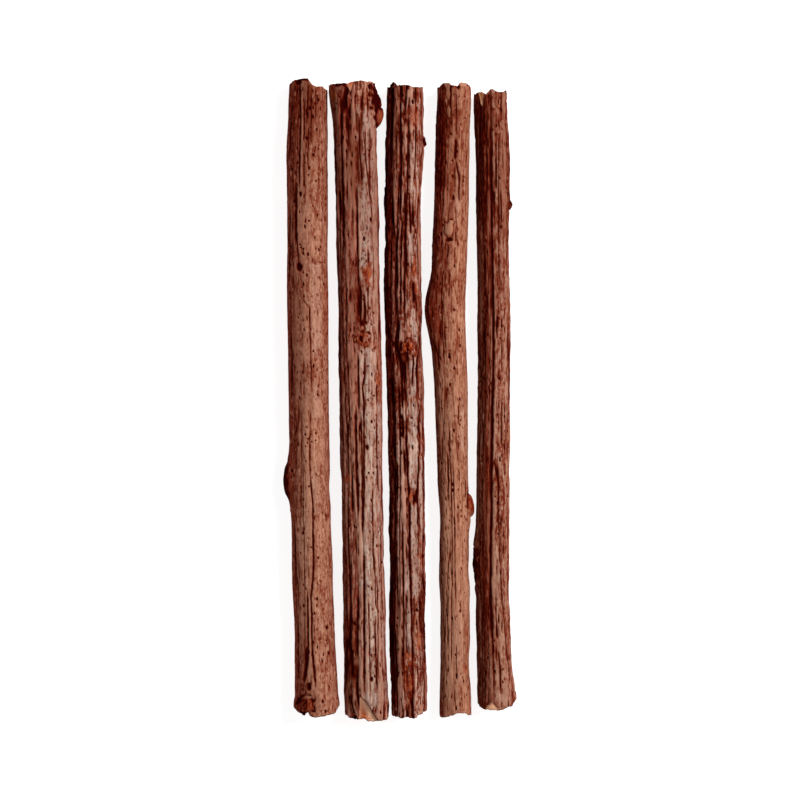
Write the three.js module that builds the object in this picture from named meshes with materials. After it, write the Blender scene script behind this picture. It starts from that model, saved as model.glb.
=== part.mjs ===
// Five short lengths of dry twig, cut to about the same length and lying loose, side by side,
// on a flat surface. Millimetres, +Z up. The twigs run along Y, they rest on z = 0, and the
// origin is under the middle of the bundle.
//
// Each twig is a closed tube of rings. A ring's middle follows the twig's course, its size the
// twig's girth, and swellings for knots, nodes and branch stubs stand proud of it. The underside
// is pressed flat where the twig lies, and each end is a slightly slanted saw cut.

import * as THREE from 'three';
import { mergeVertices } from 'three/addons/utils/BufferGeometryUtils.js';

const SIDES = 20; // facets round a twig
const STEPS = 45; // facets along a twig
const LIE_FLAT = 0.35; // depth of the flat that a twig lies on
const CUT_REACH = 9; // how far from an end its slant begins
const FLUTES = [
  { count: 3, depth: 0.022 }, // depth as a share of the girth
  { count: 5, depth: 0.012 },
];
const FLUTE_TWIST = 0.004; // radians for each millimetre along the twig
const MERGE_GAP = 1e-4;

// A twig is described from its low end, at y = foot, to its high end, at y = head.
//   course: [y, x] of its middle         girth: [y, half thickness]
//   swells: at = y, side = degrees round from +X over the top, rise = height,
//           reach = half length, spread = half width in degrees
//   cuts:   slope of the end face across the twig, and slope of it from bottom to top
const TWIGS = [
  {
    name: 'twig_1',
    colour: '#9b6550',
    foot: -74.1,
    head: 74.3,
    course: [[-74, -19.5], [-50, -20.2], [-20, -21.1], [20, -21.65], [62, -21.8], [74, -21.2]],
    girth: [[-74, 4.95], [-69, 5.1], [-60, 4.8], [-30, 4.65], [0, 4.7], [60, 4.8], [74, 4.2]],
    swells: [
      { at: -19, side: 178, rise: 1.35, reach: 7, spread: 42 },
      { at: -70.5, side: 60, rise: 0.5, reach: 5, spread: 50 },
    ],
    footCut: { across: 0.03, upward: 0.05 },
    headCut: { across: -0.2, upward: 0.02 },
  },
  {
    name: 'twig_2',
    colour: '#8f6050',
    foot: -73.6,
    head: 74.2,
    course: [[-75, -7.85], [-50, -8.35], [-10, -9.1], [20, -9.6], [50, -10.25], [75, -11.1]],
    girth: [[-75, 5.15], [-50, 4.95], [-22, 4.8], [5, 5.05], [40, 4.95], [74, 5]],
    swells: [
      { at: 69.5, side: 12, rise: 1.9, reach: 6.5, spread: 46 },
      { at: 13, side: 75, rise: 0.45, reach: 6, spread: 45 },
      { at: 30, side: 72, rise: 0.3, reach: 5, spread: 40 },
    ],
    footCut: { across: -0.06, upward: 0.34 },
    headCut: { across: 0.03, upward: -0.1 },
  },
  {
    name: 'twig_3',
    colour: '#6f443a',
    foot: -74.5,
    head: 74.1,
    course: [[-74, 2], [-50, 1.8], [-20, 1.5], [0, 1.15], [18, 0.75], [42, 0.55], [74, 1.05]],
    girth: [[-74, 4.15], [-38, 4], [0, 4.2], [17, 4.3], [44, 4.1], [58, 4.4], [74, 4.15]],
    swells: [
      { at: 13, side: 82, rise: 0.4, reach: 6, spread: 45 },
      { at: 60, side: 20, rise: 0.3, reach: 3.5, spread: 30 },
    ],
    footCut: { across: 0.03, upward: 0.1 },
    headCut: { across: -0.12, upward: 0.05 },
  },
  {
    name: 'twig_4',
    colour: '#98654f',
    foot: -73.7,
    head: 74.3,
    course: [[-74, 12.9], [-50, 12.8], [-20, 12.3], [0, 11.9], [20, 11.25], [46, 11.95], [74, 12.4]],
    girth: [[-74, 3.8], [-62, 3.5], [-20, 3.55], [5, 3.95], [22, 4.15], [50, 4.05], [74, 4]],
    swells: [
      { at: 20, side: 172, rise: 1.4, reach: 9, spread: 55 },
      { at: -26.5, side: 15, rise: 1.1, reach: 4.5, spread: 45 },
      { at: 40, side: 80, rise: 0.3, reach: 4, spread: 40 },
    ],
    footCut: { across: 0.1, upward: 0.05 },
    headCut: { across: 0.05, upward: -0.05 },
  },
  {
    name: 'twig_5',
    colour: '#6a3a2b',
    foot: -72,
    head: 72.4,
    course: [[-72, 22.4], [-50, 21.75], [-30, 21.6], [0, 21.9], [40, 21.6], [72, 21.05]],
    girth: [[-72, 4.35], [-58, 4], [-20, 3.9], [30, 3.7], [60, 3.9], [72, 3.85]],
    swells: [
      { at: -39, side: 175, rise: 1.05, reach: 6.5, spread: 50 },
      { at: 45.5, side: 8, rise: 0.75, reach: 3.4, spread: 32 },
      { at: -68, side: 10, rise: 0.45, reach: 5, spread: 50 },
    ],
    footCut: { across: 0.16, upward: 0.1 },
    headCut: { across: 0.06, upward: 0.05 },
  },
];

// A smooth line through [place, value] pairs.
function smoothLine(pairs) {
  const places = pairs.map(([place]) => place);
  const values = pairs.map(([, value]) => value);
  const line = new THREE.CubicInterpolant(places, values, 1, new Float64Array(1));
  return (place) => line.evaluate(place)[0];
}

// A round hump: 1 at the middle, easing to 0 at a distance of 1 and beyond.
function hump(distance) {
  return Math.abs(distance) < 1 ? (1 - distance * distance) ** 2 : 0;
}

// How far the bark stands from the twig's middle, at y and at an angle round from +X.
function reachOfBark(twig, girth, y, angle) {
  let reach = girth(y);
  FLUTES.forEach(({ count, depth }, i) => {
    const turn = y * FLUTE_TWIST * (i + 1) + twig.foot * count;
    reach += girth(y) * depth * Math.sin(count * angle + turn);
  });
  twig.swells.forEach(({ at, side, rise, reach: length, spread }) => {
    const away = angle - THREE.MathUtils.degToRad(side);
    const turned = Math.atan2(Math.sin(away), Math.cos(away));
    reach += rise * hump((y - at) / length) * hump(turned / THREE.MathUtils.degToRad(spread));
  });
  return reach;
}

// How far an end's slant moves a point along the twig, fading out over CUT_REACH.
function slantOfCut(cut, distance, x, z) {
  const share = THREE.MathUtils.smoothstep(CUT_REACH - distance, 0, CUT_REACH);
  return share * (cut.across * x + cut.upward * z);
}

// One twig as a closed body: a unit cylinder along Y whose points are moved to the twig's form.
function twigGeometry(twig) {
  const course = smoothLine(twig.course);
  const girth = smoothLine(twig.girth);
  const cylinder = new THREE.CylinderGeometry(1, 1, 1, SIDES, STEPS);
  cylinder.deleteAttribute('normal');
  cylinder.deleteAttribute('uv');
  const geometry = mergeVertices(cylinder, MERGE_GAP);
  const places = geometry.attributes.position;
  const point = new THREE.Vector3();
  for (let i = 0; i < places.count; i += 1) {
    point.fromBufferAttribute(places, i);
    const y = THREE.MathUtils.lerp(twig.foot, twig.head, point.y + 0.5);
    const reach = reachOfBark(twig, girth, y, Math.atan2(point.z, point.x));
    const x = point.x * reach;
    const z = point.z * reach;
    const slant = slantOfCut(twig.footCut, y - twig.foot, x, z)
      + slantOfCut(twig.headCut, twig.head - y, x, z);
    const height = Math.max(0, girth(y) - LIE_FLAT + z);
    places.setXYZ(i, course(y) + x, y + slant, height);
  }
  geometry.computeVertexNormals();
  return geometry;
}

// The five twigs, with the bundle's middle moved over the origin.
function makeBundle() {
  const bundle = new THREE.Group();
  for (const twig of TWIGS) {
    const bark = new THREE.MeshStandardMaterial({
      color: twig.colour,
      roughness: 0.85,
      metalness: 0,
    });
    const mesh = new THREE.Mesh(twigGeometry(twig), bark);
    mesh.name = twig.name;
    bundle.add(mesh);
  }
  const middle = new THREE.Box3().setFromObject(bundle).getCenter(new THREE.Vector3());
  bundle.position.set(-middle.x, -middle.y, 0);
  return bundle;
}

export default makeBundle();
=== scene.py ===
import bpy
import bmesh
import math
import numpy as np
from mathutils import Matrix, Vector, noise
from mathutils.bvhtree import BVHTree


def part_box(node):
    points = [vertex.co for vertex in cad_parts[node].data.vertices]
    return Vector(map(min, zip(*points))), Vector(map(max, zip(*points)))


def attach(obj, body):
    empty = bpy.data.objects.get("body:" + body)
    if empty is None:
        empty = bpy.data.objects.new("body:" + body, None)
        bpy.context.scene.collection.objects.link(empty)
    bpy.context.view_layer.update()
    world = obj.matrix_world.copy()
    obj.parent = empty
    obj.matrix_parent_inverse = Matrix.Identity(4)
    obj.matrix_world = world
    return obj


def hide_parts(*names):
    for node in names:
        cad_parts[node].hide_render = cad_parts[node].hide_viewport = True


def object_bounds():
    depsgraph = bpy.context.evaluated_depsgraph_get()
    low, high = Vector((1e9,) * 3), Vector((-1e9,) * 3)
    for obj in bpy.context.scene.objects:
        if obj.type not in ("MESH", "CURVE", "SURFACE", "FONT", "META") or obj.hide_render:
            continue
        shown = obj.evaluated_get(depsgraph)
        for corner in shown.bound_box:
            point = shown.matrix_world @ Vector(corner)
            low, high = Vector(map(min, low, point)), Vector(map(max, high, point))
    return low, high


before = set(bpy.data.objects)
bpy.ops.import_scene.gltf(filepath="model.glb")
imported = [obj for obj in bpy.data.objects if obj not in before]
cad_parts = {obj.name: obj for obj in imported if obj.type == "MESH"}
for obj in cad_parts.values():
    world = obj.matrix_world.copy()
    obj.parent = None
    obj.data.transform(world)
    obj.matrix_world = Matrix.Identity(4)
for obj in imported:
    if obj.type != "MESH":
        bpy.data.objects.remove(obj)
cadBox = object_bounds()
mm = 0.001

# Sides are degrees round a twig: 0 faces right (+X), 90 up, 180 left, -90 is the underside.
# Places along a twig are millimetres of Y. Heights, widths and lengths are millimetres too.


# Measuring the frame's solids

def evenOut(values, reach):
    # rolling average along the first axis, with the ends held
    ends = ((reach, reach),) + ((0, 0),) * (values.ndim - 1)
    padded = np.pad(values, ends, mode="edge")
    total = sum(padded[i:i + len(values)] for i in range(2 * reach + 1))
    return total / (2 * reach + 1)


def evenOutRound(values, reach):
    # the same round the twig, where the last spoke meets the first
    return sum(np.roll(values, i, axis=1) for i in range(-reach, reach + 1)) / (2 * reach + 1)


def castDistance(tree, start, way):
    return tree.ray_cast(Vector(start), Vector(way))[3]


def measureSolid(node, stations=90, spokes=80, margin=2.5 * mm):
    # where the twig's middle runs, how far out its surface is, and where its ends are
    solid = bmesh.new()
    solid.from_mesh(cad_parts[node].data)
    bmesh.ops.remove_doubles(solid, verts=solid.verts, dist=1e-6)
    tree = BVHTree.FromBMesh(solid)
    low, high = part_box(node)
    widest = high.z * 0.45  # the twig rests on a flat, so it is widest just below half height
    y = np.linspace(low.y + margin, high.y - margin, stations)
    middle = []
    for place in y:
        left = low.x + castDistance(tree, (low.x, place, widest), (1, 0, 0))
        right = high.x - castDistance(tree, (high.x, place, widest), (-1, 0, 0))
        top = 2 * high.z - castDistance(tree, ((left + right) / 2, place, 2 * high.z), (0, 0, -1))
        middle.append(((left + right) / 2, top / 2))
    middle = evenOut(np.array(middle), 6)
    side = np.linspace(0, math.tau, spokes, endpoint=False)
    reach = np.array([
        [castDistance(tree, (x, place, z), (math.cos(a), 0, math.sin(a))) for a in side]
        for place, (x, z) in zip(y, middle)])
    reach = evenOutRound(evenOut(reach, 1), 2)
    ends = {}
    for name, way, edge, (x, z) in (("foot", 1, low.y, middle[0]), ("head", -1, high.y, middle[-1])):
        start = edge - way * margin
        ends[name] = (start + way * castDistance(tree, (x, start, z), (0, way, 0))) / mm
    solid.free()
    return {"y": y / mm, "middle": middle / mm, "reach": reach / mm, "ends": ends}


# A twig's sheet of bark: a grid rolled into a tube, its seam welded, its ends closed in rings

barkSheet = {"sides": 192, "rings": 430, "capRings": 16}
uvLayout = {"strip": 0.415, "nextStrip": 0.425, "disc": 0.072, "discLeft": 0.08, "discStep": 0.16,
            "discHeight": 0.925}


def rollTube(name):
    bm = bmesh.new()
    uv = bm.loops.layers.uv.new("OFBake")
    bmesh.ops.create_grid(bm, x_segments=barkSheet["sides"], y_segments=barkSheet["rings"], size=0.5,
                          calc_uvs=True)
    for vert in bm.verts:
        turn = (vert.co.x + 0.5) * math.tau - math.pi / 2
        vert.co = (math.cos(turn), vert.co.y, math.sin(turn))
    bmesh.ops.remove_doubles(bm, verts=bm.verts, dist=1e-5)
    rims = [edge for edge in bm.edges if edge.is_boundary]
    caps = bmesh.ops.holes_fill(bm, edges=rims, sides=0)["faces"]
    for _ in range(barkSheet["capRings"] - 1):
        bmesh.ops.inset_region(bm, faces=caps, thickness=1 / barkSheet["capRings"], use_even_offset=True)
    bmesh.ops.poke(bm, faces=caps)
    bmesh.ops.recalc_face_normals(bm, faces=bm.faces)
    layOutUvs(bm, uv)
    mesh = bpy.data.meshes.new(name)
    bm.to_mesh(mesh)
    bm.free()
    return mesh


def layOutUvs(bm, uv):
    # the bark in two strips, low half and high half, with both end faces as discs beside them
    wallDistance = 0.9995 * math.cos(math.pi / barkSheet["sides"])
    for face in bm.faces:
        centre = face.calc_center_median()
        upper = centre.y > 0
        if math.hypot(centre.x, centre.z) > wallDistance:
            for loop in face.loops:
                around, along = loop[uv].uv
                loop[uv].uv = (along * 2 - upper, around * uvLayout["strip"] + uvLayout["nextStrip"] * upper)
        else:
            left = uvLayout["discLeft"] + uvLayout["discStep"] * upper
            for loop in face.loops:
                loop[uv].uv = (left + loop.vert.co.x * uvLayout["disc"],
                               uvLayout["discHeight"] + loop.vert.co.z * uvLayout["disc"])


# Drawing on the bark

def easeStep(low, high, value):
    share = np.clip((value - low) / (high - low), 0, 1)
    return share * share * (3 - 2 * share)


def turnBetween(a, b):
    return (a - b + math.pi) % math.tau - math.pi


def roundProfile(side, points):
    # a value for every side, from (side, value) points; sides below zero are underneath
    sides, values = zip(*sorted(points))
    return np.interp(np.degrees(turnBetween(side, 0)), sides, values)


def grain(twig, width, stretch, seed, detail=1):
    # smooth noise, width across and stretch times that along, following the grain round the knots
    across = np.cos(twig["grainSide"]) * twig["girth"] / width + seed
    upward = np.sin(twig["grainSide"]) * twig["girth"] / width
    along = twig["y"] / (width * stretch)
    points = zip(across.tolist(), along.tolist(), upward.tolist())
    if detail == 1:
        return np.array([noise.noise(point) for point in points])
    return np.array([noise.fractal(point, 1.0, 2.0, detail) for point in points])


def nearby(twig, low, high):
    # the points of the twig between two places along it
    first, last = np.searchsorted(twig["ySorted"], (low, high))
    return twig["order"][first:last]


def drawLine(twig, into, path, width, strength, seed, waver=0.12, fading=0.2):
    # a crack or a fibre: a wavering line through (place, side) points, tapering at both ends
    path = sorted(path)
    places = np.array([point[0] for point in path], float)
    sides = np.radians([point[1] for point in path])
    near = nearby(twig, places[0], places[-1])
    y = twig["y"][near]
    length = places[-1] - places[0]
    steps = np.linspace(places[0], places[-1], 4 + int(length * 3))
    bends = [noise.noise((step / 2.7, seed, 0.4)) + 0.6 * noise.noise((step / 0.9, seed, 7.4))
             for step in steps.tolist()]
    drift = np.interp(y, steps, np.array(bends) * waver)
    middle = np.interp(y, places, sides) + drift / twig["girth"]
    run = (y - places[0]) / length
    fades = [1 - fading * (1 - math.tanh(4 * noise.noise((step / 1.6, seed, 3.3))))
             for step in steps.tolist()]
    taper = np.clip(np.minimum(run, 1 - run) * 8, 0.15, 1) ** 0.5 * np.interp(y, steps, fades)
    away = turnBetween(twig["side"][near], middle) * twig["girth"] / (width * taper)
    into[near] = np.maximum(into[near], strength * taper * np.exp(-away * away))


def spotDistance(twig, near, y, side, length, width, wobble=0.5):
    # 0 in the middle of an uneven oval, 1 on its edge
    along = (twig["y"][near] - y) / (length / 2)
    around = turnBetween(twig["side"][near], math.radians(side)) * twig["girth"] / (width / 2)
    return np.hypot(along, around) * (1 + wobble * twig["wobble"][near])


def drawSpot(twig, into, y, side, length, width, strength, wobble=0.5):
    near = nearby(twig, y - length, y + length)
    away = spotDistance(twig, near, y, side, length, width, wobble)
    into[near] = np.maximum(into[near], strength * (1 - easeStep(0.7, 1.15, away)))


def layStrands(twig, into, rng, strands, profile):
    # broken strands side by side round the twig, each walked from foot to head
    count, (short, long), gaps, strengths, widths = strands
    foot, head = twig["ends"]["foot"] - 1, twig["ends"]["head"] + 1
    for i in range(count):
        side = 360 * (i + rng.uniform(0, 0.8)) / count - 180
        y = foot - rng.uniform(0, 6)
        while y < head:
            length = short * (long / short) ** rng.uniform()
            lean = rng.normal(0, 0.35) * length ** 0.5
            strength = rng.uniform(*strengths)
            width = rng.uniform(*widths)
            strength *= float(roundProfile(math.radians(side), profile)) ** 0.7
            if strength > 0.12:
                path = [(y, side - lean), (y + length, side + lean)]
                drawLine(twig, into, path, width, min(strength, 1), rng.uniform(0, 90), 0.09, 0.33)
            y += length + rng.uniform(*gaps)
            side += rng.normal(0, 0.8)


def scatterSpots(twig, into, rng, count, lengths):
    for _ in range(count):
        y = rng.uniform(twig["ends"]["foot"], twig["ends"]["head"])
        drawSpot(twig, into, y, rng.uniform(-180, 180), rng.uniform(*lengths), rng.uniform(0.25, 0.5),
                 rng.uniform(0.35, 1))


# The bark's relief and the marks that its finish reads

def growBark(twig, look):
    rng = np.random.default_rng(look["seed"])
    blank = np.zeros(len(twig["y"]))
    dark, grey, pale, rust = (blank.copy() for _ in range(4))
    seed = look["seed"] * 3.7
    twig["wobble"] = grain(twig, 1.1, 1.4, seed + 77)
    twig["fleck"] = grain(twig, 0.5, 2, seed + 83)
    rough = roundProfile(twig["side"], look["rough"])
    relief = blank.copy()

    # weathered plates
    mottle = grain(twig, 0.8, 2.5, seed + 61, detail=2)
    for low, high, side, width, amount in look["greys"]:
        inY = easeStep(low - 0.8, low + 0.8, twig["y"]) * (1 - easeStep(high - 0.8, high + 0.8, twig["y"]))
        away = np.abs(turnBetween(twig["side"], math.radians(side))) * twig["girth"] + 0.25 * twig["wobble"]
        grey = np.maximum(grey, amount * inY * (1 - easeStep(width / 2 - 0.2, width / 2 + 0.2, away)))
    calm = 1 - 0.7 * grey

    # broad ridges between long straight furrows, every other one lighter
    ridges = grain(twig, look["ridgeWidth"], 24, seed)
    breaks = easeStep(-0.3, 0.2, grain(twig, 1.3, 3.4, seed + 11))
    furrow = np.exp(-(ridges / look["furrowEdge"]) ** 2) * (0.2 + 0.8 * breaks) * rough * calm
    relief += look["ridgeRise"] * np.clip(np.abs(ridges) * 2.6, 0, 1) * rough
    relief += look["lumpRise"] * grain(twig, 3.2, 2.6, seed + 47)
    for y, side, length, width, rise in look["swells"]:
        near = nearby(twig, y - length / 2, y + length / 2)
        away = np.clip(spotDistance(twig, near, y, side, length, width, 0), 0, 1)
        relief[near] += rise * (1 - away ** 2) ** 2
    relief += look["beadRise"] * grain(twig, 0.9, 3.2, seed + 31, detail=2) * (0.3 + 0.7 * rough)
    # furrows painted dark, partly as the shade in them
    dark = np.maximum(dark, furrow * look["furrowDark"])
    worn = easeStep(-0.35, 0.15, grain(twig, 1.1, 4.5, seed + 19))
    pale = np.maximum(pale, look["strips"] * easeStep(0.1, 0.32, ridges) * worn * rough)

    # broken strands of cracks and of lighter fibres
    cracks, fibres = blank.copy(), blank.copy()
    layStrands(twig, cracks, rng, look["cracked"], look["rough"])
    layStrands(twig, fibres, rng, look["fibres"], look["rough"])
    beads = easeStep(-0.28, 0.1, grain(twig, 0.55, 1.7, seed + 91))
    # cracks painted dark, partly as the shade in them
    dark = np.maximum(dark, cracks * calm * (0.45 + 0.55 * beads))
    pale = np.maximum(pale, fibres * (0.2 + 0.8 * beads)) * (1 - 0.6 * dark)
    scatterSpots(twig, dark, rng, look["pores"], (0.3, 0.9))
    scatterSpots(twig, pale, rng, look["specks"], (0.35, 1.3))
    relief += 0.06 * grey
    grey *= 0.8 + 0.6 * mottle

    # the twig's own cracks with their raised lips, pits, scars and light fibres
    for i, (path, width, strength) in enumerate(look["cracks"]):
        drawLine(twig, dark, path, width * 1.05, strength, seed + i, 0.09, 0.1)
        lips = blank.copy()
        drawLine(twig, lips, path, width * 2.4, strength, seed + i, 0.09, 0.1)
        relief += 0.05 * lips
    # pits painted dark, partly as the shade in them
    for y, side, length, width in look["pits"]:
        drawSpot(twig, dark, y, side, length, width, 1, wobble=0.25)
    for scar in look["scars"]:
        addScar(twig, scar, relief, rust, dark, pale)
    light = blank.copy()
    for i, (path, width, strength) in enumerate(look["paleLines"]):
        drawLine(twig, light, path, width * 1.15, strength, seed + 60 + i)
    for y, side, length, width, amount in look["lights"]:
        drawSpot(twig, light, y, side, length, width, amount, wobble=0.9)
    pale = np.maximum(pale, light)
    grey = np.maximum(grey, light * 0.4)
    dark *= 1 - 0.8 * light
    relief -= look["crackDepth"] * dark
    relief += 0.05 * pale

    # the bark darkened by side: painted shade on the flank turned from the light, at the right edge and
    # underneath, with brown stain, and spots of both; and broad soft patches of painted shade and tone:
    # darker above 0, less stained and paler below 0
    stain = roundProfile(twig["side"] + 0.12 * twig["wobble"], look["stain"])
    for y, side, length, width, amount in look["stainAndShadeSpots"]:
        drawSpot(twig, stain, y, side, length, width, amount)
    shade = blank.copy()
    for y, side, length, width, amount in look["shades"]:
        soft = np.exp(-1.4 * spotDistance(twig, slice(None), y, side, length, width, 0.3) ** 2)
        shade += max(amount, 0) * soft
        stain += min(amount, 0) * soft
        pale -= 0.3 * min(amount, 0) * soft
    return relief, {"dark": dark, "grey": grey * (1 - dark), "pale": np.clip(pale, 0, 1), "rust": rust,
                    "stain": np.clip(stain, 0, 1), "shade": np.clip(shade, 0, 1)}


def addScar(twig, scar, relief, rust, dark, pale):
    # a knot, a broken side shoot or a rusty patch; one with only a dark trait on the left flank is a patch of
    # painted shade
    y, side, length, width, traits = scar
    near = nearby(twig, y - length, y + length)
    away = spotDistance(twig, near, y, side, length, width, traits.get("wobble", 0.45))
    dome = np.clip(1 - away * away, 0, 1) ** 0.6
    relief[near] += traits.get("rise", 0) * dome
    inside = 1 - easeStep(0.75, 1.1, away)
    whole = traits.get("whole", 0.35)
    broken = easeStep(-0.4, 0.2, twig["fleck"][near]) * (1 - whole) + whole
    rust[near] = np.maximum(rust[near], traits.get("rust", 0) * inside * broken)
    dark[near] *= 1 - 0.7 * inside * traits.get("clear", traits.get("rust", 0))
    pale[near] *= 1 - inside * 0.6
    dark[near] = np.maximum(dark[near], traits.get("dark", 0) * inside * broken)
    crackle = np.exp(-(twig["fleck"][near] / 0.07) ** 2) * inside * traits.get("crackle", 0)
    dark[near] = np.maximum(dark[near], crackle)
    rim = np.exp(-((away - 1.08) / 0.16) ** 2) * (1.0 - 0.8 * easeStep(-0.2, 0.5, twig["wobble"][near]))
    dark[near] = np.maximum(dark[near], traits.get("rim", 0) * rim)
    if "core" in traits:
        drawSpot(twig, dark, y + 0.1 * length, side + 4, length * 0.3, width * 0.3, traits["core"],
                 wobble=0.8)


def cutChip(twig, chip, relief, wood, marks):
    # a torn wedge that bares the wood, from its point to its wide base at the twig's end
    run = (twig["y"] - chip["from"]) / (chip["to"] - chip["from"])
    share = np.clip(run, 0, 1.4)
    first = np.radians(chip["point"] + (chip["base"][0] - chip["point"]) * share)
    last = np.radians(chip["point"] + (chip["base"][1] - chip["point"]) * share ** chip["bow"])
    jag = 0.3 * twig["wobble"]
    past = turnBetween(twig["side"], first) * twig["girth"] + jag
    short = turnBetween(last, twig["side"]) * twig["girth"] + jag
    inside = easeStep(-0.12, 0.12, past) * easeStep(-0.12, 0.12, short) * (run > 0)
    inside *= np.cos(turnBetween(twig["side"], (first + last) / 2)) > 0
    edge = np.exp(-(np.minimum(past, short) / 0.22) ** 2) * (run > 0) * (run < 1.6) * chip["edge"]
    fibre = 0.05 * np.sin(twig["side"] * 70)
    relief = relief * (1 - inside) - (chip["depth"] * np.clip(run, 0, 1.5) ** 0.8 - fibre) * inside
    for mark in marks:
        marks[mark] = marks[mark] * (1 - 0.8 * inside)
    across = np.clip(past / np.maximum(past + short, 0.01), 0, 1)
    middle, spread, strength = chip["orange"]
    orange = strength * np.exp(-((across - middle) / spread) ** 2)
    marks["rust"] = np.maximum(marks["rust"], inside * orange * np.clip(run * 1.5, 0, 1))
    marks["dark"] = np.maximum(marks["dark"], edge * (1 - inside))
    return relief, np.maximum(wood, inside * chip["bare"])


# A whole twig: the measured form, torn ends, the grain, the bark and the bared wood

cutEnd = {"inset": 0.45, "undersideInset": 0.4, "reach": 7, "fibreRise": 0.12,
          "splits": 4, "splitWidth": 0.13, "splitDepth": 0.25, "splitDark": 0.8, "faceRadius": 5.5}


def sampleRound(form, side, y):
    # the measured surface's distance, between its stations and spokes
    stations, spokes = form["reach"].shape
    row = np.clip(np.interp(y, form["y"], np.arange(stations)), 0, stations - 1.001)
    column = (side % math.tau) / math.tau * spokes
    i = row.astype(int)
    j = column.astype(int)
    u = row - i
    v = column - j
    j = j % spokes
    k = (j + 1) % spokes
    low = form["reach"][i, j] * (1 - v) + form["reach"][i, k] * v
    high = form["reach"][i + 1, j] * (1 - v) + form["reach"][i + 1, k] * v
    return low * (1 - u) + high * u


def tearEnds(look, ends, side, y, fromPith):
    # each rim reaches its own place at every side, and the cut face lies a little inside it
    moved = np.zeros(len(y))
    for name, way in (("foot", 1), ("head", -1)):
        rimPoints = look[name + "Rim"]
        rim = roundProfile(np.abs(turnBetween(side, 0)), rimPoints)
        rim = rim + way * cutEnd["undersideInset"] * (np.sin(side) < 0)
        rim += look["tear"] * np.array([
            noise.noise((math.cos(a) * 3.1, math.sin(a) * 3.1, look["seed"] + way))
            + 0.6 * noise.noise((math.cos(a) * 9, math.sin(a) * 9, look["seed"] + way))
            for a in side.tolist()])
        lean = (rimPoints[-1][1] - rimPoints[0][1]) / 2
        face = float(np.mean([place for _, place in rimPoints])) + lean * np.cos(side) * fromPith
        face = face + way * cutEnd["inset"]
        near = 1 - easeStep(0, cutEnd["reach"], way * (y - ends[name]))
        moved += near * (face + (rim - face) * fromPith ** 12 - ends[name])
    return y + moved


def runGrain(look, side, y, girth):
    # the grain wavers a little along the twig and parts round each knot
    sway = [noise.noise((place / 23, look["seed"], 0.5)) for place in y.tolist()]
    grainSide = side + np.array(sway) * 0.07
    for place, facing, length, width, traits in look["scars"]:
        along = (y - place) / (length * 1.3)
        around = turnBetween(side, math.radians(facing))
        close = np.exp(-along ** 2 - (around * girth / (width * 1.1)) ** 2)
        grainSide -= around * close * traits.get("flow", 0)
    return grainSide


def weatherFaces(look, unit, side, fromPith, y, dark, wood):
    # the end faces' fibres stand unevenly, and drying cracks run out from the pith
    seed = look["seed"]
    for way in (-1, 1):
        face = (np.abs(unit[:, 1] * 2 - way) < 1e-4) & (fromPith < 0.999)
        fibre = np.array([noise.noise((x * 14, z * 14, seed)) + 0.5 * noise.noise((x * 31, z * 31, 3))
                          for x, z in unit[face][:, (0, 2)].tolist()])
        y[face] += cutEnd["fibreRise"] * fibre
        for i in range(cutEnd["splits"]):
            turn = (i + noise.noise((i * 3.7, seed, way))) * math.tau / cutEnd["splits"]
            bend = 0.2 * np.sin(fromPith[face] * 9 + i)
            away = turnBetween(side[face], turn + bend) * fromPith[face] * cutEnd["faceRadius"]
            length = 0.5 + 0.5 * noise.noise((i * 5.3, way, seed))
            # the splits are darkened, partly as painted shade in them
            split = cutEnd["splitDark"] * np.exp(-(away / cutEnd["splitWidth"]) ** 2)
            split *= 1 - easeStep(length, length + 0.25, fromPith[face])
            dark[face] = np.maximum(dark[face], split)
            y[face] -= way * cutEnd["splitDepth"] * split
        wood[face] = 1 - easeStep(0.84, 0.9, fromPith[face])


def growTwig(look):
    form = measureSolid(look["node"])
    mesh = rollTube(look["node"] + "_bark")
    flat = np.zeros(len(mesh.vertices) * 3)
    mesh.vertices.foreach_get("co", flat)
    unit = flat.reshape(-1, 3)
    ends = form["ends"]
    side = np.arctan2(unit[:, 2], unit[:, 0])
    fromPith = np.clip(np.hypot(unit[:, 0], unit[:, 2]), 0, 1)
    y = ends["foot"] + (unit[:, 1] + 0.5) * (ends["head"] - ends["foot"])
    wall = sampleRound(form, side, y)
    y = tearEnds(look, ends, side, y, fromPith)
    order = np.argsort(y, kind="stable")
    girth = float(np.mean(form["reach"]))
    twig = {"side": side, "y": y, "order": order, "ySorted": y[order], "ends": ends, "girth": girth,
            "grainSide": runGrain(look, side, y, girth)}
    relief, marks = growBark(twig, look)

    # the wood inside is round and plain; only the outer ring of each end face shows the bark
    barkShare = easeStep(0.84, 0.97, fromPith)
    for mark in marks.values():
        mark *= barkShare
    wood = np.zeros(len(y))
    for chip in look["chips"]:
        relief, wood = cutChip(twig, chip, relief, wood, marks)
    wood = np.where(fromPith > 0.99, wood, 0)
    weatherFaces(look, unit, side, fromPith, y, marks["dark"], wood)

    reach = wall * fromPith + relief * barkShare
    middleX = np.interp(y, form["y"], form["middle"][:, 0])
    middleZ = np.interp(y, form["y"], form["middle"][:, 1])
    height = np.maximum(middleZ + reach * np.sin(side), 0)
    places = np.stack([middleX + reach * np.cos(side), y, height], axis=1) * mm
    mesh.vertices.foreach_set("co", places.ravel())
    marks["wood"] = wood
    marks["fromPith"] = fromPith
    for name, values in marks.items():
        attribute = mesh.attributes.new(name, "FLOAT", "POINT")
        attribute.data.foreach_set("value", np.clip(values, 0, 1).astype(np.float32))
    mesh.shade_smooth()
    mesh.update()
    piece = bpy.data.objects.new(look["node"] + "_bark", mesh)
    bpy.context.collection.objects.link(piece)
    piece.data.materials.append(barkMaterial(look))
    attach(piece, "root")
    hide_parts(look["node"])
    print(look["node"], "grown:", len(mesh.vertices), "points")


# The finish

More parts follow.
